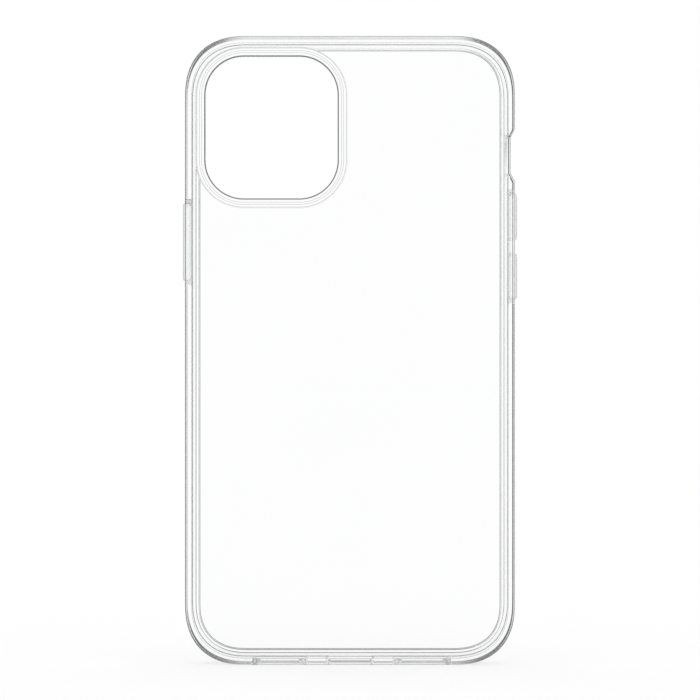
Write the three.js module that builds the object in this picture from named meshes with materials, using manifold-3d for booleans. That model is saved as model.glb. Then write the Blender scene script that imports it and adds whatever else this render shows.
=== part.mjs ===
// A clear two-material phone case: a soft bumper frame round a hard back plate, a raised guard round
// the camera opening, and three push buttons held in thin flexible webs.
// Millimetres. X runs across the case, Y from its back (-Y) to its open phone side (+Y), Z up its length.
// It stands on its bottom edge at Z = 0, centred on X = 0.
import * as THREE from 'three';
import { mergeVertices } from 'three/addons/utils/BufferGeometryUtils.js';
import Module from 'manifold-3d';

const wasm = await Module();
wasm.setup();

// Overall size
const caseWidth = 78.6;
const caseHeight = 149.8;
const cavityDepth = 7.6; // thickness of the phone and its slack
const cornerReach = 15; // how far each corner's curve runs along both edges
const cornerPower = 2.44; // 2 is a circular corner, more is squarer
const cornerSteps = 12;

// Walls and lips
const wall = 1.45;
const plateThickness = 1.5;
const lipThickness = 1.4; // front lip round both ends and all four corners
const sideLipDrop = 0.5; // how much lower the lip is along the two long sides
const lipRampEnd = 16.1; // from each end of the case to the middle of the lip's ramp
const lipRampLength = 0.8;
const lipLand = 1.2; // from the outer side to the inner edge of the lip's flat top
const lipOverhang = 2.25; // from the outer side to the lip's inner edge
const edgeRadius = 0.45; // outer edges, back and front
const cavityEdge = 0.3; // chamfer where the wall meets the flange and the lip

// Fits
const moldGap = 0.3; // between two pieces that meet
const seamInset = 3.45; // from the outer side to the middle of the seam round the plate
const bottomSeamInset = 3.8; // the same at the bottom, where the border is a little wider
const stepWidth = 0.9; // how far the plate's inner step reaches under the frame's flange
const flangeThickness = 0.6; // rear flange of the frame, outside that step

// Camera opening, by its edges nearest to the left side and the top
const cameraWidth = 31.24;
const cameraHeight = 33.5;
const cameraRadius = 9.1;
const cameraFromSide = 4.92;
const cameraFromTop = 5.0;
const guardWidth = 2.15;
const guardRise = 0.8;
const guardFoot = 0.6;
const guardEdge = 0.7; // rounding of the guard's outer rim

// Buttons, by the distance of their middles from the top
const buttonRise = 0.7;
const buttonWidth = 3.7; // across the side wall
const buttonEdge = 0.5;
const powerLength = 18.7;
const powerFromTop = 49.0;
const volumeUpLength = 11.2;
const volumeUpFromTop = 43.0;
const volumeDownLength = 10.9;
const volumeDownFromTop = 57.2;
const webWidth = 0.5;
const webThickness = 0.5;
const windowFlare = 0.6; // how much wider a window is at the outer side than at its web

// Mute switch opening and its scoop in the right side
const muteFromTop = 28.45;
const muteLength = 10.2;
const muteWidth = 8.0; // just over the cavity's depth, so it leaves a shallow recess in flange and lip
const muteRadius = 0.9;
const muteReach = 2.5; // how far in from the outer side the opening is cut
const scoopDepth = 1.0;
const scoopFloor = 8.6;
const scoopMouth = 12.6;

// Openings in the bottom edge
const portWidth = 11.6;
const portDepth = 7.0;
const portRadius = 1.2;
const speakers = [
  { centre: -16.7, length: 13.4 },
  { centre: 17.1, length: 14.0 },
];
const speakerDepth = 4.6;

// Depths from the case's back face, placed so that the whole case is centred on Y = 0
const frameDepth = plateThickness + cavityDepth + lipThickness;
const backY = (guardRise - frameDepth) / 2;
const cavityY = backY + plateThickness;
const lipY = cavityY + cavityDepth;
const frontY = backY + frameDepth;
const wallMiddleY = (cavityY + lipY) / 2;
const beyond = 3; // how far a cutting shape runs past the surface it leaves by

// ---- outlines ----------------------------------------------------------------------------------

// A closed outline, counter-clockwise, with four superelliptic corners of the given reach and power.
function cornered(width, height, reach, power, steps) {
  const points = [];
  const corners = [[1, 1], [-1, 1], [-1, -1], [1, -1]];
  corners.forEach(([signX, signY], index) => {
    for (let step = 0; step <= steps; step += 1) {
      const turn = (index % 2 === 0 ? step : steps - step) / steps * Math.PI / 2;
      const x = width / 2 - reach + reach * Math.max(Math.cos(turn), 0) ** (2 / power);
      const y = height / 2 - reach + reach * Math.max(Math.sin(turn), 0) ** (2 / power);
      points.push(new THREE.Vector2(signX * x, signY * y));
    }
  });
  return points.filter((point, index) => point.distanceTo(points.at(index - 1)) > 1e-3);
}

// The case's own outline, moved inwards, centred on the case.
function caseOutline(inset, bottomInset = inset) {
  const width = caseWidth - 2 * inset;
  const height = caseHeight - inset - bottomInset;
  return moved(cornered(width, height, cornerReach - inset, cornerPower, cornerSteps), 0, bottomInset + height / 2);
}

// The seam's outline, moved outwards (more) or inwards (less than zero).
function seamOutline(growth) {
  return caseOutline(seamInset - growth, bottomSeamInset - growth);
}

// The camera opening's outline, grown outwards.
function cameraOutline(growth) {
  const width = cameraWidth + 2 * growth;
  const height = cameraHeight + 2 * growth;
  const x = -caseWidth / 2 + cameraFromSide + cameraWidth / 2;
  const z = caseHeight - cameraFromTop - cameraHeight / 2;
  return moved(cornered(width, height, cameraRadius + growth, 2, 10), x, z);
}

function bar(length, width, radius = width / 2) {
  return cornered(length, width, radius, 2, 6);
}

function moved(points, x, y) {
  return points.map((point) => new THREE.Vector2(point.x + x, point.y + y));
}

// ---- solids ------------------------------------------------------------------------------------

function solid(geometry) {
  geometry.deleteAttribute('normal');
  geometry.deleteAttribute('uv');
  const merged = mergeVertices(geometry, 1e-5);
  return new wasm.Manifold(new wasm.Mesh({
    numProp: 3,
    vertProperties: new Float32Array(merged.attributes.position.array),
    triVerts: new Uint32Array(merged.index.array),
  }));
}

// An outline carried along local Z from `from` to `to`, its two rims rounded or (in one step) chamfered.
function extruded(points, from, to, rim = { inward: 0, along: 0, steps: 0 }) {
  const geometry = new THREE.ExtrudeGeometry(new THREE.Shape(points), {
    depth: to - from - 2 * rim.along,
    bevelEnabled: rim.steps > 0,
    bevelThickness: rim.along,
    bevelSize: rim.inward,
    bevelOffset: -rim.inward,
    bevelSegments: rim.steps,
  });
  geometry.translate(0, 0, from + rim.along);
  return geometry;
}

// An XZ outline carried through the depths from `from` to `to`.
function throughDepth(points, from, to, rim) {
  return solid(extruded(points, -to, -from, rim).rotateX(Math.PI / 2));
}

// A bar shape in a long side wall, carried across X from `from` to `to`, its length along Z.
function throughSide(points, z, from, to, rim) {
  return solid(extruded(points, from, to, rim).rotateY(Math.PI / 2).translate(0, wallMiddleY, z));
}

// A bar shape in the bottom wall, carried up Z.
function throughBottom(points, x) {
  return solid(extruded(points, -beyond, wall + beyond / 2).translate(x, wallMiddleY, 0));
}

function round(radius, steps) {
  return { inward: radius, along: radius, steps };
}

// ---- bumper frame ------------------------------------------------------------------------------

function frameBlock() {
  return throughDepth(caseOutline(0), backY, frontY, round(edgeRadius, 3));
}

function cavity() {
  return throughDepth(caseOutline(wall), cavityY, lipY, round(cavityEdge, 1));
}

// The mouth the phone goes in by, flaring from the lip's inner edge to its flat top.
function mouth() {
  const flare = { inward: lipOverhang - lipLand, along: lipThickness / 2, steps: 1 };
  const flared = throughDepth(caseOutline(lipLand), frontY - flare.along, frontY + beyond, flare);
  return flared.add(throughDepth(caseOutline(lipOverhang), lipY - 1, frontY));
}

// The plate's place in the back: a through opening and a wider step inside it.
function plateSeat() {
  const opening = throughDepth(seamOutline(moldGap / 2), backY - beyond, cavityY + 0.5);
  const step = throughDepth(seamOutline(stepWidth + moldGap / 2), backY + flangeThickness, cavityY + 0.5);
  return opening.add(step);
}

// Takes the lip down along both long sides, with a short ramp at each end.
function sideLipCut() {
  const low = lipRampEnd + lipRampLength / 2;
  const high = caseHeight - low;
  const ramp = lipRampLength * (1 + beyond / sideLipDrop);
  const section = new THREE.Shape([
    new THREE.Vector2(low, -sideLipDrop),
    new THREE.Vector2(high, -sideLipDrop),
    new THREE.Vector2(high + ramp, beyond),
    new THREE.Vector2(low - ramp, beyond),
  ]);
  const across = new THREE.ExtrudeGeometry(section, { depth: caseWidth + 2 * beyond, bevelEnabled: false });
  across.translate(0, 0, -caseWidth / 2 - beyond);
  return solid(across.applyMatrix4(new THREE.Matrix4().set(0, 0, 1, 0, 0, 1, 0, frontY, -1, 0, 0, caseHeight, 0, 0, 0, 1)));
}

function buttonWindow(side, z, length) {
  const flare = { inward: windowFlare, along: wall - webThickness, steps: 1 };
  const margin = 2 * (webWidth + 2 * moldGap);
  const inner = bar(length + margin, buttonWidth + margin);
  const outer = bar(length + margin + 2 * windowFlare, buttonWidth + margin + 2 * windowFlare);
  const inside = caseWidth / 2 - wall;
  const straight = [inside - 1, caseWidth / 2 + beyond];
  const flared = [inside + webThickness, inside + webThickness + 2 * flare.along + 2 * beyond];
  const place = (from, to) => (side > 0 ? [from, to] : [-to, -from]);
  return throughSide(inner, z, ...place(...straight)).add(throughSide(outer, z, ...place(...flared), flare));
}

// The shallow scoop across the whole depth of the right side that a finger reaches the switch by.
function muteScoop() {
  const z = caseHeight - muteFromTop;
  const side = caseWidth / 2;
  const slope = (scoopMouth - scoopFloor) / 2 * (1 + beyond / scoopDepth);
  const section = [
    new THREE.Vector2(side - scoopDepth, z - scoopFloor / 2),
    new THREE.Vector2(side + beyond, z - scoopFloor / 2 - slope),
    new THREE.Vector2(side + beyond, z + scoopFloor / 2 + slope),
    new THREE.Vector2(side - scoopDepth, z + scoopFloor / 2),
  ];
  return throughDepth(section, backY - beyond, frontY + beyond);
}

function muteOpening() {
  const shape = bar(muteLength, muteWidth, muteRadius);
  return throughSide(shape, caseHeight - muteFromTop, caseWidth / 2 - muteReach, caseWidth / 2 + beyond);
}

function makeFrame() {
  let frame = frameBlock().subtract(cavity()).subtract(mouth()).subtract(plateSeat());
  frame = frame.subtract(sideLipCut()).subtract(guardSpace());
  frame = frame.subtract(buttonWindow(-1, caseHeight - powerFromTop, powerLength));
  frame = frame.subtract(buttonWindow(1, volumeSpan().middle, volumeSpan().length));
  frame = frame.subtract(muteScoop()).subtract(muteOpening());
  frame = frame.subtract(throughBottom(bar(portWidth, portDepth, portRadius), 0));
  for (const speaker of speakers) {
    frame = frame.subtract(throughBottom(bar(speaker.length, speakerDepth), speaker.centre));
  }
  return frame;
}

// ---- back plate and camera guard ---------------------------------------------------------------

// What the guard takes out of the plate and the frame, its own shape with a gap all round.
function guardSpace() {
  const stem = throughDepth(cameraOutline(guardWidth + moldGap), backY - beyond, cavityY + 0.5);
  const foot = cameraOutline(guardWidth + guardFoot + moldGap);
  return stem.add(throughDepth(foot, backY + flangeThickness, cavityY + 0.5));
}

function makePlate() {
  const face = throughDepth(seamOutline(-moldGap / 2), backY, cavityY);
  const step = throughDepth(seamOutline(stepWidth - moldGap / 2), backY + flangeThickness + moldGap, cavityY);
  return face.add(step).subtract(guardSpace());
}

function makeGuard() {
  const ring = throughDepth(cameraOutline(guardWidth), backY - guardRise, cavityY + 1, round(guardEdge, 3));
  const trimmed = ring.intersect(throughDepth(cameraOutline(guardWidth), backY - beyond, cavityY));
  const foot = throughDepth(cameraOutline(guardWidth + guardFoot), backY + flangeThickness + moldGap, cavityY);
  const hole = throughDepth(cameraOutline(0), backY - beyond, cavityY + beyond);
  return trimmed.add(foot).subtract(hole);
}

// ---- buttons and their webs --------------------------------------------------------------------

// The one window that both volume buttons share.
function volumeSpan() {
  const top = caseHeight - volumeUpFromTop + volumeUpLength / 2;
  const bottom = caseHeight - volumeDownFromTop - volumeDownLength / 2;
  return { middle: (top + bottom) / 2, length: top - bottom };
}

function makeButton(side, z, length) {
  const inside = caseWidth / 2 - wall;
  const outside = caseWidth / 2 + buttonRise;
  const [from, to] = side > 0 ? [inside, outside] : [-outside, -inside];
  return throughSide(bar(length, buttonWidth), z, from, to, round(buttonEdge, 3));
}

// A thin sheet filling a window round its buttons, each button passing through it.
function makeWeb(side, z, length, buttons) {
  const inside = caseWidth / 2 - wall;
  const place = (from, to) => (side > 0 ? [from, to] : [-to, -from]);
  const outline = bar(length + 2 * (webWidth + moldGap), buttonWidth + 2 * (webWidth + moldGap));
  let web = throughSide(outline, z, ...place(inside, inside + webThickness));
  for (const button of buttons) {
    const hole = bar(button.length + 2 * moldGap, buttonWidth + 2 * moldGap);
    web = web.subtract(throughSide(hole, button.z, ...place(inside - 1, inside + webThickness + 1)));
  }
  return web;
}

// ---- materials ---------------------------------------------------------------------------------

function hardClear() {
  return new THREE.MeshStandardMaterial({ color: 0xf6f8f9, roughness: 0.04, metalness: 0 });
}

function softClear() {
  return new THREE.MeshStandardMaterial({ color: 0xeef1f2, roughness: 0.12, metalness: 0 });
}

function buttonClear() {
  return new THREE.MeshStandardMaterial({ color: 0xe9edef, roughness: 0.16, metalness: 0 });
}

// ---- assembly ----------------------------------------------------------------------------------

function meshOf(name, shape, material) {
  const { numProp, vertProperties, triVerts } = shape.getMesh();
  const geometry = new THREE.BufferGeometry();
  const positions = [];
  for (let start = 0; start < vertProperties.length; start += numProp) {
    positions.push(vertProperties[start], vertProperties[start + 1], vertProperties[start + 2]);
  }
  geometry.setAttribute('position', new THREE.Float32BufferAttribute(positions, 3));
  geometry.setIndex([...triVerts]);
  geometry.computeVertexNormals();
  const mesh = new THREE.Mesh(geometry, material);
  mesh.name = name;
  return mesh;
}

const power = { z: caseHeight - powerFromTop, length: powerLength };
const volumeUp = { z: caseHeight - volumeUpFromTop, length: volumeUpLength };
const volumeDown = { z: caseHeight - volumeDownFromTop, length: volumeDownLength };
const span = volumeSpan();

const phoneCase = new THREE.Group();
phoneCase.add(meshOf('bumper_frame', makeFrame(), softClear()));
phoneCase.add(meshOf('back_plate', makePlate(), hardClear()));
phoneCase.add(meshOf('camera_guard', makeGuard(), softClear()));
phoneCase.add(meshOf('power_button', makeButton(-1, power.z, power.length), buttonClear()));
phoneCase.add(meshOf('power_button_web', makeWeb(-1, power.z, power.length, [power]), softClear()));
phoneCase.add(meshOf('volume_up_button', makeButton(1, volumeUp.z, volumeUp.length), buttonClear()));
phoneCase.add(meshOf('volume_down_button', makeButton(1, volumeDown.z, volumeDown.length), buttonClear()));
phoneCase.add(meshOf('volume_button_web', makeWeb(1, span.middle, span.length, [volumeUp, volumeDown]), softClear()));

export default phoneCase;
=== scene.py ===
import math

import bmesh
import bpy
import numpy as np
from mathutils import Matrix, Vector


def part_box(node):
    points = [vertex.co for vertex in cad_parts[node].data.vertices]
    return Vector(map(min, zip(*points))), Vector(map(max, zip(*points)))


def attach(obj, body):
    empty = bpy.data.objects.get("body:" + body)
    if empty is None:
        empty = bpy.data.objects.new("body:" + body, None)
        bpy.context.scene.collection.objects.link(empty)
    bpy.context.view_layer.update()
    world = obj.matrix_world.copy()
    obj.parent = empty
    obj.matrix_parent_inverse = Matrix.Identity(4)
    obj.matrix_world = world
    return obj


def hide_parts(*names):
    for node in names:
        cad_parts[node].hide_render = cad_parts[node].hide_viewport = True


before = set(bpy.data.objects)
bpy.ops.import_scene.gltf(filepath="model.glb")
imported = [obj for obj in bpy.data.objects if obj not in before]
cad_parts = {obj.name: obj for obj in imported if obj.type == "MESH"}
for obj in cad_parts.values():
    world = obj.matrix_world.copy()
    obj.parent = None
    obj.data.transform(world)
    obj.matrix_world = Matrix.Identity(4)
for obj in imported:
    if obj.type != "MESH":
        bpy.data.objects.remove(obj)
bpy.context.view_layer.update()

# A clear phone case standing on its bottom edge: soft bumper frame, hard back plate, camera guard,
# three push buttons and the thin webs round them. Sizes are in millimetres, meshes in metres.
metre = 0.001
hair = 1e-6  # a length that counts as nothing

caseSize = {
    "cornerReach": 15.0,  # length of each corner's curve along both edges
    "cornerPower": 2.44,  # 2 is a circle, more is squarer
    "cornerColumns": 72,
    "plateThickness": 1.5,
    "cavityDepth": 7.6,
    "wall": 1.45,
    "gap": 0.3,  # round a button, between it and its web
    "seamGap": 0.08,  # left open between two pieces that are moulded together
    "seam": 3.45,  # from the outer side to the middle of the seam
    "bottomSeam": 3.8,
}

frameLow, frameHigh = (np.array(corner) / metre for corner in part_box("bumper_frame"))
caseWidth = frameHigh[0] - frameLow[0]
caseHeight = frameHigh[2] - frameLow[2]
backY, frontY = frameLow[1], frameHigh[1]
cavityY = backY + caseSize["plateThickness"]
lipY = cavityY + caseSize["cavityDepth"]
middleY = (cavityY + lipY) / 2
sideX = caseWidth / 2

studio = {
    "cameraAt": (0.0, -0.955, 0.075),
    "lens": 205.2,
    "sensor": 36.0,
    "farthest": 50.0,
    "skyStrength": 1.0,
    "floorColour": (0.3, 0.3, 0.3),
    "floorGlow": 0.7,
    "floorHalf": 6.0,
    "lightBounces": 48,  # enough for light to find its way out of the clear walls
}


class Wire:
    # One socket of a material. Sums on wires add their Math nodes, also with a plain number on the left.
    def __init__(self, tree, socket=None):
        self.tree = tree
        self.socket = socket

    def node(self, kind, settings=None, inputs=None, output=0):
        made = self.tree.nodes.new(kind)
        for name, value in (settings or {}).items():
            if name == "stops":
                for element, (position, colour) in zip(made.color_ramp.elements, value):
                    element.position, element.color = position, colour
            else:
                setattr(made, name, value)
        for name, value in (inputs or {}).items():
            if isinstance(value, Wire):
                self.tree.links.new(value.socket, made.inputs[name])
            else:
                made.inputs[name].default_value = value
        return Wire(self.tree, made.outputs[output])

    def sum(self, operation, first, second):
        return self.node("ShaderNodeMath", {"operation": operation}, {0: first, 1: second})

    def __add__(self, other):
        return self.sum("ADD", self, other)

    def __mul__(self, other):
        return self.sum("MULTIPLY", self, other)

    __radd__ = __add__
    __rmul__ = __mul__


def plainMatt(name, colour, glow):
    # One colour with no gloss, which also gives off a little white light
    material = bpy.data.materials.new(name)
    material.use_nodes = True
    shader = material.node_tree.nodes["Principled BSDF"]
    shader.inputs["Base Color"].default_value = (*colour, 1)
    shader.inputs["Roughness"].default_value = 1.0
    shader.inputs["Specular IOR Level"].default_value = 0.0
    shader.inputs["Emission Color"].default_value = (1, 1, 1, 1)
    shader.inputs["Emission Strength"].default_value = glow
    return material


def addStageSheet(name, corners, material):
    # One four-sided sheet that belongs to the studio and not to the case
    mesh = bpy.data.meshes.new(name)
    mesh.from_pydata(corners, [], [(0, 1, 2, 3)])
    mesh.materials.append(material)
    sheet = bpy.data.objects.new(name, mesh)
    bpy.context.scene.collection.objects.link(sheet)


def setStudio():
    scene = bpy.context.scene
    scene.view_settings.view_transform = "Standard"
    scene.cycles.max_bounces = studio["lightBounces"]
    scene.cycles.transmission_bounces = studio["lightBounces"]
    scene.cycles.glossy_bounces = studio["lightBounces"]
    lens = bpy.data.cameras.new("camera")
    lens.lens = studio["lens"]
    lens.sensor_width = studio["sensor"]
    lens.clip_end = studio["farthest"]
    camera = bpy.data.objects.new("camera", lens)
    scene.collection.objects.link(camera)
    camera.location = studio["cameraAt"]
    camera.rotation_euler = (math.pi / 2, 0, 0)
    scene.camera = camera
    scene.world = bpy.data.worlds.new("white_room")
    scene.world.use_nodes = True
    sky = scene.world.node_tree.nodes["Background"]
    sky.inputs["Color"].default_value = (1, 1, 1, 1)
    sky.inputs["Strength"].default_value = studio["skyStrength"]
    half = studio["floorHalf"]
    corners = [(-half, -half, 0), (half, -half, 0), (half, half, 0), (-half, half, 0)]
    addStageSheet("floor", corners, plainMatt("pale_floor", studio["floorColour"], studio["floorGlow"]))
    print("studio set: camera, floor and white room")


# The near-black colour in each finish is painted shade, laid on wherever the edge attribute is high
finishes = {
    "clear_soft": {
        "slot": "soft_clear", "tint": (0.985, 0.987, 0.988), "deepTint": (0.975, 0.978, 0.98),
        "paintedShadeColour": (0.03, 0.032, 0.034), "ior": 1.49, "roughLow": 0.0, "roughHigh": 0.008,
        "wave": 60.0, "waveDepth": 0.000002, "grain": 900.0, "grainDepth": 0.00000002,
    },
    "clear_hard": {
        "slot": "hard_clear", "tint": (0.988, 0.989, 0.99), "deepTint": (0.98, 0.982, 0.984),
        "paintedShadeColour": (0.03, 0.032, 0.034), "ior": 1.57, "roughLow": 0.0, "roughHigh": 0.004,
        "wave": 25.0, "waveDepth": 0.000002, "grain": 1500.0, "grainDepth": 0.00000001,
    },
    "clear_button": {
        "slot": "button_clear", "tint": (0.98, 0.982, 0.984), "deepTint": (0.968, 0.971, 0.974),
        "paintedShadeColour": (0.03, 0.032, 0.034), "ior": 1.5, "roughLow": 0.0, "roughHigh": 0.02,
        "wave": 120.0, "waveDepth": 0.000002, "grain": 1200.0, "grainDepth": 0.00000003,
    },
}
mouldNoise = {
    "waveDetail": 2.0,
    "grainDetail": 3.0,
    "waveShare": 0.7,  # how much of the roughness follows the waves, the rest follows the grain
    "tintRange": (0.3, 0.7),  # the waves' values at the deeper and the lighter tint
}


def clearPlastic(name):
    # Slow waves left by the mould and a fine grain bend the surface and stir the roughness, the waves also
    # stir the tint, and the colour goes over to a near-black painted shade by the piece's own edge attribute
    look = finishes[name]
    waveShare = mouldNoise["waveShare"]
    deepest, lightest = mouldNoise["tintRange"]
    material = bpy.data.materials.new(name)
    material.use_nodes = True
    tree = material.node_tree
    shader = tree.nodes["Principled BSDF"]
    start = Wire(tree)
    place = start.node("ShaderNodeTexCoord", output="Object")
    wave, grain = (
        start.node("ShaderNodeTexNoise", {}, {"Vector": place, "Scale": scale, "Detail": detail})
        for scale, detail in (
            (look["wave"], mouldNoise["waveDetail"]),
            (look["grain"], mouldNoise["grainDetail"]),
        )
    )
    stir = waveShare * wave + (1 - waveShare) * grain
    roughness = look["roughLow"] + (look["roughHigh"] - look["roughLow"]) * stir
    tint = start.node(
        "ShaderNodeValToRGB",
        {"stops": [(deepest, (*look["deepTint"], 1)), (lightest, (*look["tint"], 1))]},
        {"Fac": wave},
    )
    # The edge attribute holds painted shade: dark lines along the rims and edges
    edge = start.node("ShaderNodeAttribute", {"attribute_name": "edge"}, output="Fac")
    # On a mix of colours, socket 0 is the factor, 6 and 7 are the colours, and output 2 is the result
    colour = start.node(
        "ShaderNodeMix", {"data_type": "RGBA"}, {0: edge, 6: tint, 7: (*look["paintedShadeColour"], 1)}, output=2
    )
    height = look["waveDepth"] * wave + look["grainDepth"] * grain
    bump = start.node("ShaderNodeBump", {}, {"Height": height, "Distance": 1.0, "Strength": 1.0})
    tree.links.new(colour.socket, shader.inputs["Base Color"])
    tree.links.new(roughness.socket, shader.inputs["Roughness"])
    tree.links.new(bump.socket, shader.inputs["Normal"])
    shader.inputs["Transmission Weight"].default_value = 1.0
    shader.inputs["IOR"].default_value = look["ior"]
    return material


heldFlat = 0.03  # beside a rounded corner, a narrow strip of the flat that keeps the rest of it shading flat
roundLimit = 0.48  # the share of a straight stretch that one rounding may take
heldLimit = 0.49  # and that a rounding and its strip may take together


def rounded(corners, columns):
    # Each corner is (first, second, radius, steps, edge), and all but the steps may vary by column; edge is
    # painted shade. It gives way to a curve that leaves the straight line one radius before it and joins the
    # next line one radius
    # after: (1-t)^2 start + 2t(1-t) corner + t^2 end. A row is the two places and how much painted shade
    # darkens the surface there, which is edge times the square root of sin(pi t), so most along the curve's
    # middle.
    spots = [[np.broadcast_to(value, columns) for value in corner[:2]] for corner in corners]
    spots = np.array(spots, float)
    edges = [np.broadcast_to(corner[4] if len(corner) > 4 else 0.0, columns) for corner in corners]
    rows, paintedShade = [spots[0]], [edges[0]]
    for before, here, after, corner, edge in zip(spots, spots[1:], spots[2:], corners[1:], edges[1:]):
        radius, steps = corner[2:4]
        back, onward = before - here, after - here
        backLength, onwardLength = np.hypot(*back), np.hypot(*onward)
        short = np.minimum(radius, roundLimit * np.minimum(backLength, onwardLength))
        backLength, onwardLength = np.maximum(backLength, hair), np.maximum(onwardLength, hair)
        start = here + back * short / backLength
        end = here + onward * short / onwardLength
        heldStart = here + back * np.minimum((short + heldFlat) / backLength, heldLimit)
        heldEnd = here + onward * np.minimum((short + heldFlat) / onwardLength, heldLimit)
        share = np.linspace(0, 1, steps + 1)
        t = share[:, None, None]
        curve = (1 - t) ** 2 * start + 2 * t * (1 - t) * here + t**2 * end
        shade = np.sqrt(np.sin(math.pi * share).clip(0))[:, None] * edge
        rows.extend([heldStart, *curve, heldEnd])
        paintedShade.extend([0 * edge, *shade, 0 * edge])
    rows.append(spots[-1])
    paintedShade.append(edges[-1])
    return np.concatenate([np.array(rows), np.array(paintedShade)[:, None]], axis=1)


def gridQuads(rows, columns, closeRows=True):
    # Four-sided faces between neighbouring rows and columns. Columns wrap round, and rows do if closed.
    rowStarts = np.arange(rows if closeRows else rows - 1)
    row, column = np.meshgrid(rowStarts, np.arange(columns), indexing="ij")
    nextRow, nextColumn = (row + 1) % rows, (column + 1) % columns
    return np.stack([row * columns + column, row * columns + nextColumn,
                     nextRow * columns + nextColumn, nextRow * columns + column], axis=-1)


weldDistance = 0.000002  # metres
sharpAngle = 48  # degrees; faces that meet at more than this keep a crisp edge


def makePiece(name, points, edges, faces, finish, body, node):
    # One closed mesh from points in millimetres, turned the right way out, on its body in place of its node
    mesh = bpy.data.meshes.new(name)
    mesh.from_pydata((points.reshape(-1, 3) * metre).tolist(), [], faces)
    # The edge attribute carries the painted shade that the clear finishes darken by
    paintedShadeValues = mesh.attributes.new("edge", "FLOAT", "POINT").data
    paintedShadeValues.foreach_set("value", np.ravel(edges).astype(np.float32))
    shape = bmesh.new()
    shape.from_mesh(mesh)
    bmesh.ops.remove_doubles(shape, verts=shape.verts, dist=weldDistance)
    if shape.calc_volume(signed=True) < 0:
        bmesh.ops.reverse_faces(shape, faces=shape.faces)
    loose = sum(1 for edge in shape.edges if len(edge.link_faces) != 2)
    shape.to_mesh(mesh)
    shape.free()
    mesh.shade_smooth()
    mesh.set_sharp_from_angle(angle=math.radians(sharpAngle))
    mesh.materials.append(finish)
    piece = bpy.data.objects.new(name, mesh)
    bpy.context.scene.collection.objects.link(piece)
    weighted = piece.modifiers.new("flat_faces_stay_flat", "WEIGHTED_NORMAL")
    weighted.keep_sharp = True
    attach(piece, body)
    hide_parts(node)
    print(name, "has", len(mesh.polygons), "faces,", loose, "open edges")


class CasePath:
    # The case's own outline as columns: a centre and a direction each. A point at an inset is the centre
    # plus (corner reach - inset) times the direction, so corners scale about their centres and sides stay
    # straight. A corner's directions are cos^(2/power) and sin^(2/power) of even turns.
    def __init__(self, rightZ, topX, leftZ, bottomX):
        reach, power = caseSize["cornerReach"], caseSize["cornerPower"]
        turn = np.linspace(0, math.pi / 2, caseSize["cornerColumns"] + 1)[1:-1]
        across, along = np.cos(turn) ** (2 / power), np.sin(turn) ** (2 / power)
        innerX, lowZ, highZ = sideX - reach, reach, caseHeight - reach
        parts = [
            (innerX, np.sort(rightZ), 1, 0),
            (innerX, highZ, across, along),
            (-np.sort(-topX), highZ, 0, 1),
            (-innerX, highZ, -across[::-1], along[::-1]),
            (-innerX, -np.sort(-leftZ), -1, 0),
            (-innerX, lowZ, -across, -along),
            (np.sort(bottomX), lowZ, 0, -1),
            (innerX, lowZ, across[::-1], -along[::-1]),
        ]
        columns = [np.stack(np.broadcast_arrays(*map(np.asarray, part))).astype(float) for part in parts]
        self.centreX, self.centreZ, self.alongX, self.alongZ = np.concatenate(columns, axis=1)
        self.count = len(self.centreX)
        self.reach = reach
        outerZ = self.centreZ + reach * self.alongZ
        self.sink = np.clip(1 - outerZ / reach, 0, 1)

    def around(self, right, top, left, bottom, corner):
        # A value for each column: each side's own, mixed by the squares of the direction, and going over to
        # the corners' value as the direction nears the diagonal
        length = np.hypot(self.alongX, self.alongZ)
        x, z = self.alongX / length, self.alongZ / length
        sides = right * x.clip(0) ** 2 + left * (-x).clip(0) ** 2
        sides = sides + top * z.clip(0) ** 2 + bottom * (-z).clip(0) ** 2
        share = (2 * x * z) ** 2
        return sides * (1 - share) + corner * share

    def spot(self, inset, bottomExtra=0.0):
        # bottomExtra lifts the bottom edge further in than the sides, fading out up both corners
        x = self.centreX + (self.reach - inset) * self.alongX
        z = self.centreZ + (self.reach - inset) * self.alongZ + bottomExtra * self.sink
        return x, z


guardSize = {
    "width": 31.42, "height": 33.7, "radius": 9.1, "fromSide": 4.92, "fromTop": 5.0,
    "ring": 2.15, "rise": 0.8, "innerRound": 0.42, "outerRound": 0.18, "cornerColumns": 40,
    "terraces": (0.95, 1.45),  # where the crest drops a little, from the hole outwards
    "terraceDrop": 0.11,
    "terraceRound": 0.05,
    "terraceFoot": 0.04,
    "plateRound": 0.05,  # on the phone's side, against the plate and round the hole
    "holeRound": 0.1,
    # Painted shade at the ring's edges and down the hole's wall, standing in for the shade that refraction
    # gives there
    "edges": (1.6, 1.4, 1.4, 0.8),  # darkness at the hole, the two terraces and the outer edge
    "wallPaintedShade": 0.45,  # darkness down the hole's wall
}
cameraX = -sideX + guardSize["fromSide"] + guardSize["width"] / 2
cameraZ = caseHeight - guardSize["fromTop"] - guardSize["height"] / 2


def beyondCamera(x, z):
    # Distance outside the camera opening's rounded rectangle, less than zero inside it
    radius = guardSize["radius"]
    acrossX = np.abs(x - cameraX) - guardSize["width"] / 2 + radius
    acrossZ = np.abs(z - cameraZ) - guardSize["height"] / 2 + radius
    outside = np.hypot(np.maximum(acrossX, 0), np.maximum(acrossZ, 0))
    return outside + np.minimum(np.maximum(acrossX, acrossZ), 0) - radius


def cameraOutline(growth):
    # Four quarter circles joined by straight sides, grown outwards; one row per growth
    radius, steps = guardSize["radius"], guardSize["cornerColumns"]
    turn = np.linspace(0, math.pi / 2, steps + 1)
    angle = np.concatenate([turn + quarter * math.pi / 2 for quarter in range(4)])
    signX = np.repeat([1, -1, -1, 1], steps + 1)
    signZ = np.repeat([1, 1, -1, -1], steps + 1)
    x = cameraX + signX * (guardSize["width"] / 2 - radius) + (radius + growth) * np.cos(angle)
    z = cameraZ + signZ * (guardSize["height"] / 2 - radius) + (radius + growth) * np.sin(angle)
    return x, z


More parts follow.
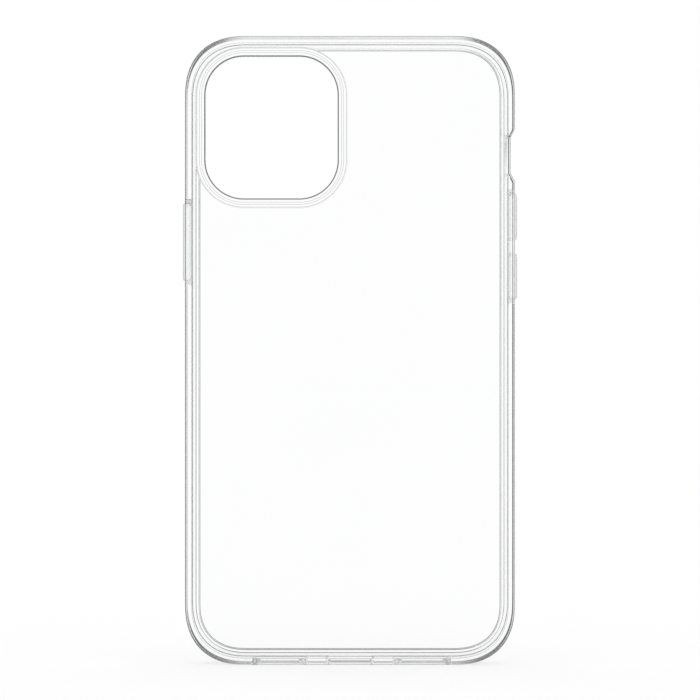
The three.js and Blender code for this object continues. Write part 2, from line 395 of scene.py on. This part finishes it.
def makeGuard(finish):
    # The ring's closed section, growth from the hole and depth, carried round the camera opening
    ring, drop = guardSize["ring"], guardSize["terraceDrop"]
    terrace, foot = guardSize["terraceRound"], guardSize["terraceFoot"]
    crestY = backY - guardSize["rise"]
    hole, first, second, outside = guardSize["edges"]
    inner, outer = guardSize["terraces"]
    section = rounded([
        (0, backY, 0, 0, hole),
        (0, crestY, guardSize["innerRound"], 6, hole),
        (inner, crestY, terrace, 3, first),
        (inner + drop, crestY + drop, foot, 2),
        (outer, crestY + drop, terrace, 3, second),
        (outer + drop, crestY + 2 * drop, foot, 2),
        (ring, crestY + 2 * drop, guardSize["outerRound"], 4, outside),
        (ring, cavityY, guardSize["plateRound"], 2),
        (0, cavityY, guardSize["holeRound"], 4, hole),
        (0, backY, 0, 0, hole),
    ], 1)[:-1]
    growth, depth, edge = section[:, 0], section[:, 1], section[:, 2]
    # The hole's wall carries painted shade
    edge = np.where(growth < hair, guardSize["wallPaintedShade"], edge)
    x, z = cameraOutline(growth)
    points = np.stack([x, np.broadcast_to(depth, x.shape), z], axis=-1)
    quads = gridQuads(*x.shape).reshape(-1, 4).tolist()
    paintedShade = np.broadcast_to(edge, x.shape)
    makePiece("camera_guard_ring", points, paintedShade, quads, finish, "case", "camera_guard")


# The last two sizes of the web are painted shade on the window's rims and round its ends
webSize = {
    "width": 0.5, "thickness": 0.5, "round": 0.06, "windowFlare": 0.12, "windowPaintedShade": 1.4, "endPaintedShade": 0.12,
}
buttonSize = {
    "width": 3.7, "rise": 0.7, "outerRound": 0.5, "innerRound": 0.2, "endColumns": 24,
    "crown": 0.06,  # how much higher the middle of the outer face is than its rim
    "crownRound": 0.6,
    # Painted shade round the outer face and round the inner face
    "edges": (0.5, 1.6),  # darkness round the outer face and round the inner face
    "power": (49.0, 18.7),  # from the top of the case to the button's middle, and its length
    "volumeUp": (43.0, 11.2),
    "volumeDown": (57.2, 10.9),
}
openingSize = {
    "rim": 0.14,
    "rimSteps": 3,
    "endColumns": 8,
    "straightColumns": 13,
    "closestColumns": 0.004,
    "endFade": (0.4, 0.3),  # how far into an end the wall begins to darken, and over what share it does
    # Each opening's last two numbers are painted shade on its rims and round its ends
    "mute": {
        "fromTop": 28.45, "length": 10.2, "width": 8.0, "round": 0.9, "power": 5.0,
        "paintedDark": 0.6, "endPaintedShade": 0.4,
    },
    "scoop": {
        "depth": 1.0, "floor": 8.6, "mouth": 12.6,
        "reach": 2.25,  # where the inner wall is cut back to
        "slopeColumns": 0.15,  # extra columns this far beyond each slope's ends
    },
    "port": {
        "middle": 0.0, "length": 11.6, "width": 7.0, "round": 1.2, "power": 3.0,
        "paintedDark": 0.9, "endPaintedShade": 0.6,
    },
    "speakers": [
        {"middle": -16.7, "length": 13.4, "width": 4.6, "paintedDark": 0.7, "endPaintedShade": 0.2},
        {"middle": 17.1, "length": 14.0, "width": 4.6, "paintedDark": 0.7, "endPaintedShade": 0.2},
    ],
}


def spanOf(buttons):
    # The middle and length of the one window that these buttons share
    low = min(caseHeight - buttonSize[name][0] - buttonSize[name][1] / 2 for name in buttons)
    high = max(caseHeight - buttonSize[name][0] + buttonSize[name][1] / 2 for name in buttons)
    return (low + high) / 2, high - low


def windowFor(buttons):
    # The opening that holds these buttons and their web, with round ends
    middle, length = spanOf(buttons)
    margin = 2 * (webSize["width"] + 2 * caseSize["gap"])
    width = buttonSize["width"] + margin
    return {
        "middle": middle, "length": length + margin, "width": width, "round": width / 2, "power": 2.0,
        "flare": webSize["windowFlare"], "paintedDark": webSize["windowPaintedShade"], "endPaintedShade": webSize["endPaintedShade"],
    }


def wallOpenings():
    # Every opening, by the side of the case it is in
    mute, port = dict(openingSize["mute"]), dict(openingSize["port"])
    mute["middle"] = caseHeight - mute["fromTop"]
    speakers = [
        {**speaker, "round": speaker["width"] / 2, "power": 2.0}
        for speaker in openingSize["speakers"]
    ]
    return {
        "right": [windowFor(["volumeUp", "volumeDown"]), mute],
        "left": [windowFor(["power"])],
        "bottom": [port, *speakers],
        "top": [],
    }


def rimLevels(opening):
    # (inset, growth) from the outer face inwards, then (inset from the inner face, growth) to the inner face.
    # Each rim is a quarter circle with a narrow flat strip beside it: rim (1 - cos), rim (1 - sin).
    rim, flare = openingSize["rim"], opening.get("flare", 0.0)
    turn = np.linspace(0, math.pi / 2, openingSize["rimSteps"] + 1)
    outer = [(0.0, flare + rim + heldFlat)]
    outer += [(rim * (1 - math.cos(a)), flare + rim * (1 - math.sin(a))) for a in turn]
    outer.append((caseSize["wall"] - webSize["thickness"] if flare else 2 * rim, 0.0))
    innerRim = 0.0 if opening.get("fromTop") else rim  # the mute opening isn't rounded inside
    inner = [(-innerRim * (1 - math.sin(a)), innerRim * (1 - math.cos(a))) for a in turn]
    inner.append((0.0, innerRim + heldFlat))
    return np.array(outer), np.array(inner)


def halfHeight(along, opening, growth):
    # Half the opening's height at a place along it: full in the middle, and at each end
    # full * (1 - (distance into the end / end radius)^power)^(1/power), down to nothing at the tip
    end, power = opening["round"] + growth, opening["power"]
    into = np.clip(np.abs(along) - opening["length"] / 2 + opening["round"], 0, None) / end
    return (opening["width"] / 2 + growth) * np.clip(1 - into**power, 0, None) ** (1 / power)


def sideColumns(openings, low, high, extra=()):
    # Places of columns along a straight side: closely spaced round the ends of each opening's nested rims,
    # at the sines of even turns to the power 2 / the end's own power
    places = [np.linspace(low, high, openingSize["straightColumns"]), np.array(extra, float)]
    into = np.sin(np.linspace(0, math.pi / 2, openingSize["endColumns"] + 1))
    for opening in openings:
        outer, inner = rimLevels(opening)
        for growth in np.unique(np.round([*outer[:, 1], *inner[:, 1]], 4)):
            end = opening["round"] + growth
            reachOut = opening["length"] / 2 - opening["round"] + end * into ** (2 / opening["power"])
            places += [opening["middle"] + reachOut, opening["middle"] - reachOut]
    places = np.unique(np.round(np.concatenate(places), 3))
    places = places[(places >= low) & (places <= high)]
    keep = np.concatenate([[True], np.diff(places) > openingSize["closestColumns"]])
    return places[keep]


frameSize = {
    "lipThickness": 1.4, "sideLipDrop": 0.5, "lipRampEnd": 16.1, "lipRampLength": 1.3,
    "lipLand": 1.2, "lipOverhang": 2.38, "lipNose": 0.16, "landRound": 0.2,
    "outerRound": 0.45, "insideRound": 0.13, "smallRound": 0.21, "hiddenRound": 0.05,
    "muteRamp": 0.15, "recess": 2.5, "recessShort": 0.3, "recessLean": 0.03,
    "seamReach": 0.25,  # how far from the seam's edge the bottom's wider border is carried
    "guardColumns": (3.0, 12.0, 31),  # beyond the guard's widest place, within it, and how many
    "flatBelow": 0.0001,
}

# How much painted shade darkens each edge of the frame, differing by side as the light falls: right, top,
# left, bottom, corners
framePaintedShade = {
    "backRim": (0.8, 0.9, 1.5, 0.7, 1.6),
    "paintedLine": (1.5, 0.35, 0.2, 0.4, 1.6),
    "seam": (0.55, 0.4, 0.65, 1.2, 0.8),
    "wallBack": (1.1, 1.1, 1.5, 1.5, 0.9),
    "wallFront": (1.0, 2.0, 1.4, 1.5, 1.2),
    "lip": (1.1, 0.3, 1.5, 1.5, 0.8),
    "frontRim": (1.5, 0.5, 0.7, 0.9, 1.6),
}
mutePaintedShade = 1.5  # and the edges that the mute opening cuts
# A fine painted dark line inside the back's outer edge, standing in for a line of shade
paintedLine = {"inset": 0.53, "half": 0.13}  # a fine line inside the back's outer edge
halvings = 30


def flangeReach(path, wanted, growth):
    # How far in the flange reaches: as far as wanted, or up to the guard's grown outline where that comes
    # first, found by halving the span between a point outside that outline and one inside
    near, far = np.zeros(path.count), np.full(path.count, wanted)
    free = beyondCamera(*path.spot(far)) > growth
    for _ in range(halvings):
        half = (near + far) / 2
        outside = beyondCamera(*path.spot(half)) > growth
        near, far = np.where(outside, half, near), np.where(outside, far, half)
    return np.where(free, wanted, far)


def framePath(openings):
    # The frame's outline, with extra columns at the lip's ramps, at the mute opening's scoop and by the guard
    reach, scoop = caseSize["cornerReach"], openingSize["scoop"]
    ramp, rampHalf = frameSize["lipRampEnd"], frameSize["lipRampLength"] / 2
    lows = [ramp - rampHalf, ramp, ramp + rampHalf]
    ramps = lows + [caseHeight - place for place in lows]
    floor, mouth, beside = scoop["floor"] / 2, scoop["mouth"] / 2, scoop["slopeColumns"]
    muteMiddle = openings["right"][1]["middle"]
    scoopPlaces = [
        muteMiddle + sign * half
        for sign in (-1, 1)
        for half in (floor, mouth, mouth + beside, floor - beside)
    ]
    beyond, within, guardCount = frameSize["guardColumns"]
    guardX = cameraX + guardSize["width"] / 2 + np.linspace(-within, beyond, guardCount)
    guardZ = cameraZ - guardSize["height"] / 2 + np.linspace(-beyond, within, guardCount)
    return CasePath(
        sideColumns(openings["right"], reach, caseHeight - reach, ramps + scoopPlaces),
        sideColumns([], -sideX + reach, sideX - reach, guardX),
        sideColumns(openings["left"], reach, caseHeight - reach, ramps + list(guardZ)),
        sideColumns(openings["bottom"], -sideX + reach, sideX - reach),
    )


def openingRims(openings, path, onSide, outer, innerWall):
    # Half heights and insets of the openings' rims, one row per level, with no height where the wall is
    # whole. Then how much painted shade darkens each column's rims, and its cut wall where that curves round
    # an end.
    outerX, outerZ = path.spot(0)
    levels = sum(len(part) for part in rimLevels(openings["right"][0]))
    height, inset = np.zeros((levels, path.count)), np.zeros((levels, path.count))
    inset[:] = np.linspace(0, 1, levels)[:, None] * caseSize["wall"]
    rimShade, endShade = np.zeros(path.count), np.zeros(path.count)
    fadeStart, fadeLength = openingSize["endFade"]
    for side, group in openings.items():
        place = outerZ if side in ("right", "left") else outerX
        for opening in group:
            along = place - opening["middle"]
            outerLevels, innerLevels = rimLevels(opening)
            apart = np.arange(len(innerLevels)) * hair / 10  # keeps levels of the same growth in order
            growths = np.concatenate([outerLevels[:, 1], innerLevels[:, 1]])
            here = onSide[side] & (np.abs(along) <= opening["length"] / 2 + growths.max())
            excess = np.clip(np.abs(along) - opening["length"] / 2, 0, None)
            heights = np.array([halfHeight(along, opening, growth) for growth in growths])
            # A level that has run out at this column slides along the rim to where it meets the middle
            outerStop = np.interp(excess, outerLevels[::-1, 1], outerLevels[::-1, 0])
            innerStop = np.interp(excess, innerLevels[:, 1] + apart, innerLevels[:, 0])
            outerHeights, innerHeights = np.split(heights, [len(outerLevels)])
            outerInset = np.where(outerHeights > 0, outerLevels[:, :1], outerStop)
            innerInset = np.where(innerHeights > 0, innerLevels[:, :1], innerStop)
            insets = np.concatenate([outer + outerInset, innerWall + innerInset])
            height = np.where(here, heights, height)
            inset = np.where(here, insets, inset)
            into = 1 - (opening["length"] / 2 - np.abs(along)) / opening["round"]
            fade = np.clip((into - fadeStart) / fadeLength, 0, 1)
            rimShade = np.where(here, opening["paintedDark"], rimShade)
            endShade = np.where(here, opening["endPaintedShade"] * fade, endShade)
    inset[0], inset[-1] = outer, innerWall
    height[height < frameSize["flatBelow"]] = 0
    return height, inset, rimShade, endShade


def makeFrame(finish):
    # Two loops of surface, behind and in front of the middle of the openings, that join there wherever the
    # wall is whole. Each column is a section of the frame: its outer face, back or lip, inner wall and rims.
    openings = wallOpenings()
    path = framePath(openings)
    count = path.count
    outerZ = path.spot(0)[1]
    onSide = {
        "right": path.alongX == 1,
        "left": path.alongX == -1,
        "top": path.alongZ == 1,
        "bottom": path.alongZ == -1,
    }

    # At the mute opening the outer face dips into a scoop with sloping ends, and the inner wall is cut back
    mute, scoop = openings["right"][1], openingSize["scoop"]
    fromMute = np.where(onSide["right"], np.abs(outerZ - mute["middle"]), caseHeight)
    scoopSlope = (scoop["mouth"] - scoop["floor"]) / 2
    outer = scoop["depth"] * np.clip((scoop["mouth"] / 2 - fromMute) / scoopSlope, 0, 1)
    inMuteLength = fromMute < mute["length"] / 2
    gone = inMuteLength & (halfHeight(fromMute, mute, 0) > caseSize["cavityDepth"] / 2)
    cutBack = np.clip((fromMute[gone].max() - fromMute) / frameSize["muteRamp"], 0, 1)
    innerWall = caseSize["wall"] + (scoop["reach"] - caseSize["wall"]) * cutBack
    height, inset, rimShade, endShade = openingRims(openings, path, onSide, outer, innerWall)

    # The lip is lower along both long sides, with a short ramp at each end
    ramp, rampHalf = frameSize["lipRampEnd"], frameSize["lipRampLength"] / 2
    inward = np.minimum(outerZ, caseHeight - outerZ)
    drop = frameSize["sideLipDrop"] * np.clip((inward - ramp + rampHalf) / (2 * rampHalf), 0, 1)
    drop = np.where(onSide["right"] | onSide["left"], drop, 0)
    topY = frontY - drop
    lipMiddle = lipY + frameSize["lipThickness"] / 2
    slope = (frameSize["lipOverhang"] - frameSize["lipLand"]) / (frontY - lipMiddle)
    land = frameSize["lipLand"] + drop * slope

    gap, small, hidden = caseSize["seamGap"], frameSize["smallRound"], frameSize["hiddenRound"]
    lean, overhang = frameSize["recessLean"], frameSize["lipOverhang"]
    # Painted shade for each edge of the frame, a value per column, and more of it at the mute opening
    paintedDark = {name: path.around(*sides) for name, sides in framePaintedShade.items()}
    inMute = np.where(inMuteLength, mutePaintedShade, 0.0)
    flangeEdge = flangeReach(path, caseSize["seam"] - gap / 2, guardSize["ring"] + gap)
    floorY = np.minimum(cavityY, middleY - height[-1])
    underY = np.maximum(lipY, middleY + height[-1])
    extra = caseSize["bottomSeam"] - caseSize["seam"]
    lineInset = outer + paintedLine["inset"]
    recess = np.minimum(frameSize["recess"], flangeEdge - frameSize["recessShort"])
    rear = rounded([
        (outer, middleY - height[0], 0, 0),
        (outer, backY, frameSize["outerRound"], 7, paintedDark["backRim"]),
        # This straight stretch of the back is rounded only so that it carries the painted dark line
        (lineInset, backY, paintedLine["half"], 4, paintedDark["paintedLine"]),
        (flangeEdge, backY, small, 4, paintedDark["seam"]),
        (flangeEdge, cavityY, hidden, 3),
        (recess, cavityY, hidden, 3, inMute),
        (recess - lean, floorY, lean, 1),
        (innerWall, floorY, frameSize["insideRound"], 5, paintedDark["wallBack"]),
        (innerWall, middleY - height[-1], 0, 0),
    ], count)
    front = rounded([
        (innerWall, middleY + height[-1], 0, 0),
        (innerWall, underY, frameSize["insideRound"], 5, paintedDark["wallFront"]),
        (overhang, underY, small, 4, np.maximum(paintedDark["lip"], inMute)),
        (overhang, lipMiddle, frameSize["lipNose"], 3, paintedDark["lip"]),
        (land, topY, frameSize["landRound"], 4),
        (outer, topY, frameSize["outerRound"], 7, paintedDark["frontRim"]),
        (outer, middleY + height[0], 0, 0),
    ], count)
    # Painted shade darkens the rounded rows of each rim, and the walls between them only where they curve
    # round an end
    curved = [1] * (openingSize["rimSteps"] - 1)
    rimRows = np.array([0, 0, *curved, 0, 0, 0, *curved, 0, 0])[:, None]
    rimPaintedDark = np.where(height > 0, np.maximum(rimRows * rimShade, endShade), 0.0)
    rearRim = np.stack([inset, middleY - height, rimPaintedDark], axis=1)[1:-1][::-1]
    frontRim = np.stack([inset, middleY + height, rimPaintedDark], axis=1)[1:-1]
    points, paintedShade, faces, start = [], [], [], 0
    loops = (
        (rear, rearRim, flangeEdge - frameSize["seamReach"], height[::-1]),
        (front, frontRim, math.inf, height),
    )
    for loop, rim, seamEdge, heights in loops:
        rows = np.concatenate([loop, rim])
        lift = (rows[:, 0] > seamEdge) * extra  # only the seam's edge carries the bottom's wider border
        x, z = zip(*[path.spot(row[0], more) for row, more in zip(rows, lift)])
        points.append(np.stack([np.array(x), rows[:, 1], np.array(z)], axis=-1).reshape(-1, 3))
        paintedShade.append(rows[:, 2].ravel())
        # Where the wall is whole, a rim's rows all lie on the middle and carry no faces
        quads = gridQuads(len(rows), count)
        flat = heights == 0
        nextFlat = np.roll(flat, -1, axis=1)
        closed = flat[:-1] & flat[1:] & nextFlat[:-1] & nextFlat[1:]
        keep = np.concatenate([np.ones((len(loop) - 1, count), bool), ~closed])
        faces += (quads[keep] + start).tolist()
        start += len(rows) * count
    points, paintedShade = np.concatenate(points), np.concatenate(paintedShade)
    makePiece("soft_bumper_frame", points, paintedShade, faces, finish, "case", "bumper_frame")


plateSize = {
    "sideColumns": 300, "endColumns": 120,
    "seamColumns": 560, "guardColumns": 200,
    "round": 0.2, "hiddenRound": 0.05,
    "straight": 1.0,  # leads up to each rounding, long enough not to cut it short
    # Painted shade along the seam and round the guard
    "edges": (1.5, 0.3),  # darkness along the seam and round the guard
}


def resampled(x, z, count):
    # The same line with evenly spaced points
    along = np.concatenate([[0], np.cumsum(np.hypot(np.diff(x), np.diff(z)))])
    wanted = np.linspace(0, along[-1], count)
    return np.interp(wanted, along, x), np.interp(wanted, along, z)


def plateOutline(path, inset, growth):
    # The seam's outline with the guard's grown outline taken out of it: first the seam from one crossing to
    # the other, then back along the guard's edge
    extra = caseSize["bottomSeam"] - caseSize["seam"]
    x, z = path.spot(inset, extra)
    outside = beyondCamera(x, z) - growth
    first = int(np.argmin(outside))
    x, z, outside = np.roll(x, -first), np.roll(z, -first), np.roll(outside, -first)
    outer = np.flatnonzero(outside > 0)
    ends = []
    for inner, near in ((outer[0] - 1, outer[0]), (outer[-1] + 1, outer[-1])):
        share = outside[near] / (outside[near] - outside[inner])
        ends.append((x[near] + share * (x[inner] - x[near]), z[near] + share * (z[inner] - z[near])))
    seamX = np.concatenate([[ends[0][0]], x[outer], [ends[1][0]]])
    seamZ = np.concatenate([[ends[0][1]], z[outer], [ends[1][1]]])
    ringX, ringZ = (np.ravel(part) for part in cameraOutline(np.array([[growth]])))
    reachTo = [int(np.argmin(np.hypot(ringX - end[0], ringZ - end[1]))) for end in ends]
    ringX, ringZ = np.roll(ringX, -reachTo[1]), np.roll(ringZ, -reachTo[1])
    stop = (reachTo[0] - reachTo[1]) % len(ringX)
    guardX = np.concatenate([[ends[1][0]], ringX[stop + 1:][::-1], [ends[0][0]]])
    guardZ = np.concatenate([[ends[1][1]], ringZ[stop + 1:][::-1], [ends[0][1]]])
    seam = resampled(seamX, seamZ, plateSize["seamColumns"])
    guard = resampled(guardX, guardZ, plateSize["guardColumns"])
    return seam, guard


def makePlate(finish):
    # Outlines from the back's face, over the rounded edge and down to the phone's side, closed by a face at
    # each end
    reach, gap, straight = caseSize["cornerReach"], caseSize["seamGap"], plateSize["straight"]
    seamPaintedShade, guardPaintedShade = plateSize["edges"]
    sideZ = np.linspace(reach, caseHeight - reach, plateSize["sideColumns"])
    endX = np.linspace(-sideX + reach, sideX - reach, plateSize["endColumns"])
    path = CasePath(sideZ, endX, sideZ, endX)
    seamSide, guardSide = (
        rounded([
            (edge + straight, backY, 0, 0),
            (edge, backY, plateSize["round"], 4, paintedDark),
            (edge, cavityY, plateSize["hiddenRound"], 3),
            (edge + straight, cavityY, 0, 0),
        ], 1)[1:-1, :, 0]
        for edge, paintedDark in ((caseSize["seam"] + gap / 2, seamPaintedShade), (guardSize["ring"] + gap, guardPaintedShade))
    )
    rows, paintedShade = [], []
    for (inset, seamY, seamEdge), (growth, guardY, guardEdge) in zip(seamSide, guardSide):
        (seamX, seamZ), (guardX, guardZ) = plateOutline(path, inset, growth)
        depth = np.concatenate([np.full(len(seamX), seamY), np.full(len(guardX), guardY)])
        x, z = np.concatenate([seamX, guardX]), np.concatenate([seamZ, guardZ])
        rows.append(np.stack([x, depth, z], axis=-1))
        paintedShade += [np.full(len(seamX), seamEdge), np.full(len(guardX), guardEdge)]
    rows = np.array(rows)
    count = rows.shape[1]
    faces = gridQuads(len(rows), count, closeRows=False).reshape(-1, 4).tolist()
    faces.append(list(range(count))[::-1])
    faces.append([(len(rows) - 1) * count + column for column in range(count)])
    makePiece("hard_back_plate", rows, np.concatenate(paintedShade), faces, finish, "case", "back_plate")


keyNames = {
    "power": "power_key_cap",
    "volumeUp": "volume_up_key_cap",
    "volumeDown": "volume_down_key_cap",
}


def barOutline(growth, length, width, steps):
    # A bar with round ends: two half circles about the ends' centres, one row per growth
    turn = np.linspace(0, math.pi, steps + 1)
    angle = np.concatenate([turn, turn + math.pi])
    centre = np.repeat([1, -1], steps + 1) * (length - width) / 2
    return (width / 2 + growth) * np.cos(angle), centre + (width / 2 + growth) * np.sin(angle)


def makeButton(name, side, finish, body, node):
    # Section from the middle of the outer face, over the rounded rim, down the side and across the inner
    # face, growth and depth, carried round the bar's outline
    fromTop, length = buttonSize[name]
    width, crown = buttonSize["width"], buttonSize["crown"]
    outerPaintedShade, innerPaintedShade = buttonSize["edges"]
    outside = sideX + buttonSize["rise"]
    inside = sideX - caseSize["wall"]
    section = rounded([
        (-width / 2, outside, 0, 0),
        (-width / 4, outside - crown / 4, buttonSize["crownRound"], 3),
        (0, outside - crown, buttonSize["outerRound"], 8, outerPaintedShade),
        (0, inside, buttonSize["innerRound"], 4, innerPaintedShade),
        (-width / 2, inside, 0, 0),
    ], 1)
    y, z = barOutline(section[:, 0], length, width, buttonSize["endColumns"])
    x = np.broadcast_to(side * section[:, 1], y.shape)
    points = np.stack([x, middleY + y, caseHeight - fromTop + z], axis=-1)
    paintedShade = np.broadcast_to(section[:, 2], y.shape)
    quads = gridQuads(*y.shape, closeRows=False).reshape(-1, 4).tolist()
    makePiece(keyNames[name], points, paintedShade, quads, finish, body, node)


def makeWeb(name, side, buttons, finish, node):
    # Each button's ring of web runs from the hole round it to the window, or to the line halfway to its
    # neighbour, where the two rings meet and join. The section's first number is the share of that way.
    width, gap = buttonSize["width"], caseSize["gap"]
    steps = buttonSize["endColumns"]
    edge = gap + webSize["width"]
    low, high = sideX - caseSize["wall"], sideX - caseSize["wall"] + webSize["thickness"]
    halfway, corner = 0.5, webSize["round"]
    section = rounded([
        (halfway, low, 0, 0),
        (0, low, corner, 2),
        (0, high, corner, 2),
        (1, high, corner, 2),
        (1, low, corner, 2),
        (halfway, low, 0, 0),
    ], 1)[:-1, :, 0]
    ends = sorted((caseHeight - buttonSize[button][0], buttonSize[button][1]) for button in buttons)
    points, faces, start = [], [], 0
    for index, (middle, length) in enumerate(ends):
        holeY, holeZ = barOutline(gap, length, width, steps)
        webY, webZ = barOutline(edge, length, width, steps)
        joined = np.zeros(len(webY), bool)
        for other, sign in ((index + 1, 1), (index - 1, -1)):
            if 0 <= other < len(ends):
                meet = (middle + ends[other][0] + (length - ends[other][1]) * sign / 2) / 2 - middle
                facing = sign * webZ > (length - width) / 2 + hair
                joined |= facing
                webZ = np.where(facing, meet, webZ)
                webY = np.where(facing, np.sign(np.round(webY, 6)) * (width / 2 + edge), webY)
        y = middleY + holeY + section[:, :1] * (webY - holeY)
        z = middle + holeZ + section[:, :1] * (webZ - holeZ)
        x = np.broadcast_to(side * section[:, 1:2], y.shape)
        points.append(np.stack([x, y, z], axis=-1).reshape(-1, 3))
        # No faces where two rings join
        outermost = section[:, 0] > 1 - hair
        dropped = (outermost & np.roll(outermost, -1))[:, None] & joined & np.roll(joined, -1)
        faces += (gridQuads(*y.shape)[~dropped] + start).tolist()
        start += y.size
    makePiece(name, np.concatenate(points), np.zeros(start), faces, finish, "case", node)


setStudio()
softClear, hardClear, buttonClear = (clearPlastic(name) for name in finishes)
makeFrame(softClear)
makePlate(hardClear)
makeGuard(softClear)
makeButton("power", -1, buttonClear, "power_key", "power_button")
makeButton("volumeUp", 1, buttonClear, "volume_up_key", "volume_up_button")
makeButton("volumeDown", 1, buttonClear, "volume_down_key", "volume_down_button")
makeWeb("power_key_web", -1, ["power"], softClear, "power_button_web")
makeWeb("volume_key_web", 1, ["volumeUp", "volumeDown"], softClear, "volume_button_web")
